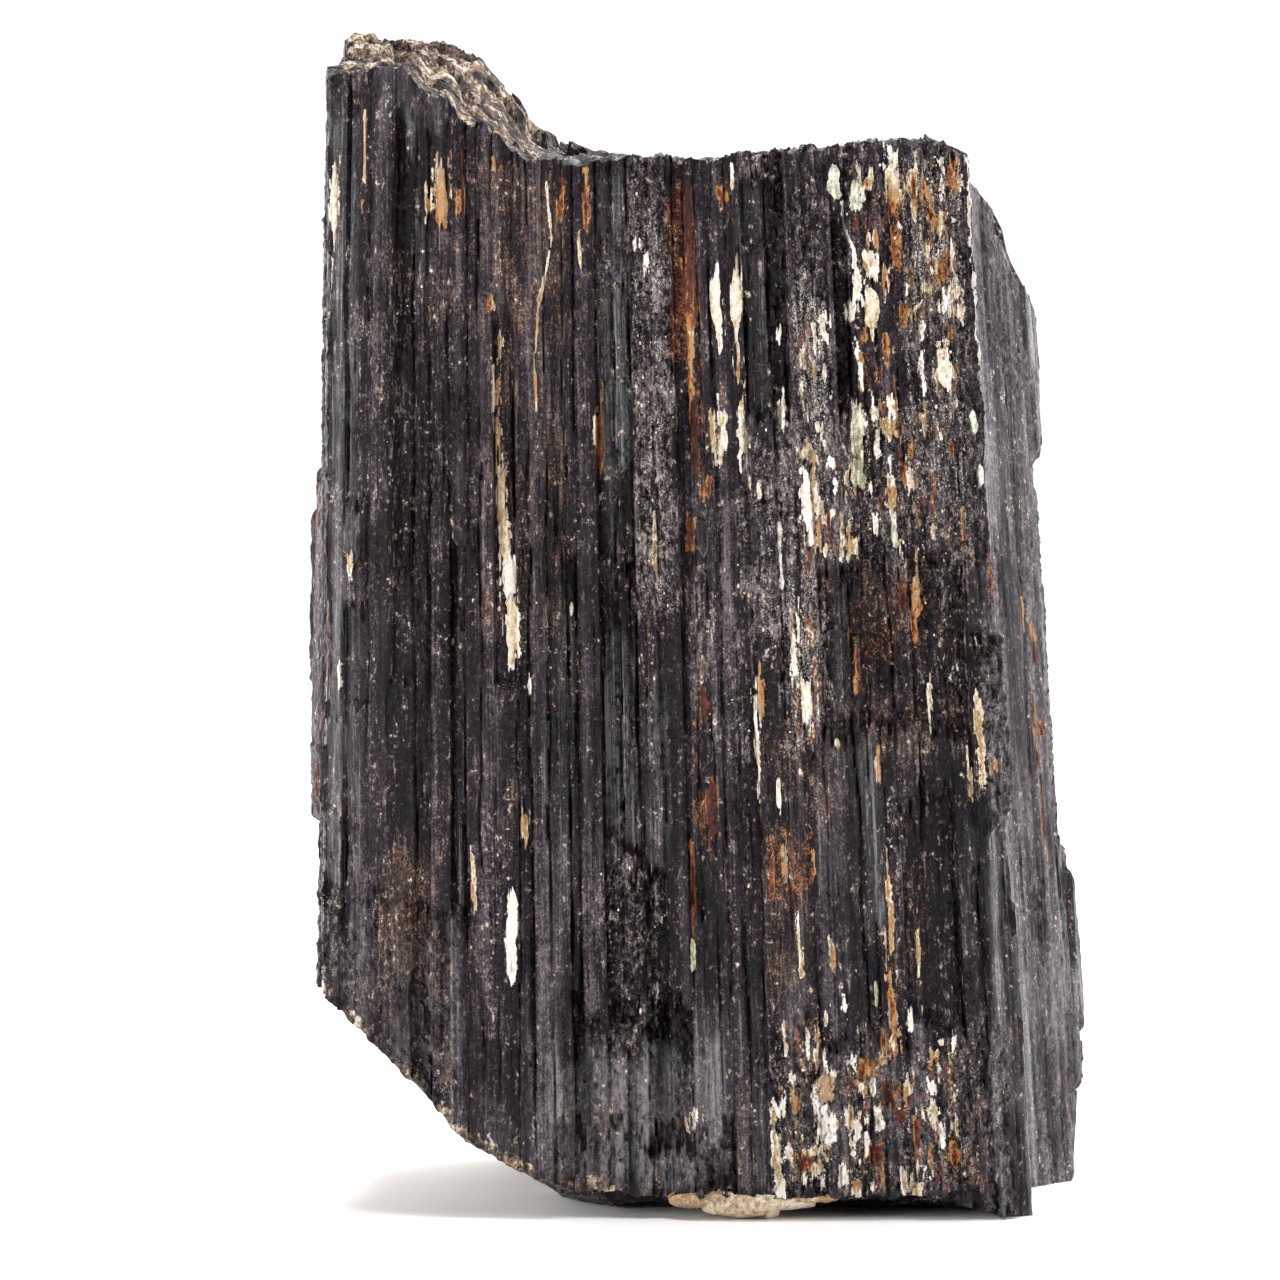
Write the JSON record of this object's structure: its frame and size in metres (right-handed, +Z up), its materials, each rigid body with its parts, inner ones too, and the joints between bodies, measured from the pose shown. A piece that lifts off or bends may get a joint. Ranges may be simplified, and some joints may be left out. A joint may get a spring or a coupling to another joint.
{
  "type": "black tourmaline crystal specimen",
  "caption": "Rough block of black tourmaline: parallel striated prisms grown together, broken at both ends, standing on its lower break.",
  "frame": {"origin": "on the surface that the specimen stands on, under the middle of its bounding box", "axes": "+Z up along the prisms, -Y out of the widest striated face, +X to the right when looking at that face"},
  "size_m": [0.0843, 0.0531, 0.1241],
  "materials": {
    "schorl": "satin",
    "albite": "matte",
    "mica": "satin",
    "iron_oxide": "matte"
  },
  "bodies": {
    "root": {"tourmaline": "schorl"}
  },
  "joints": []
}
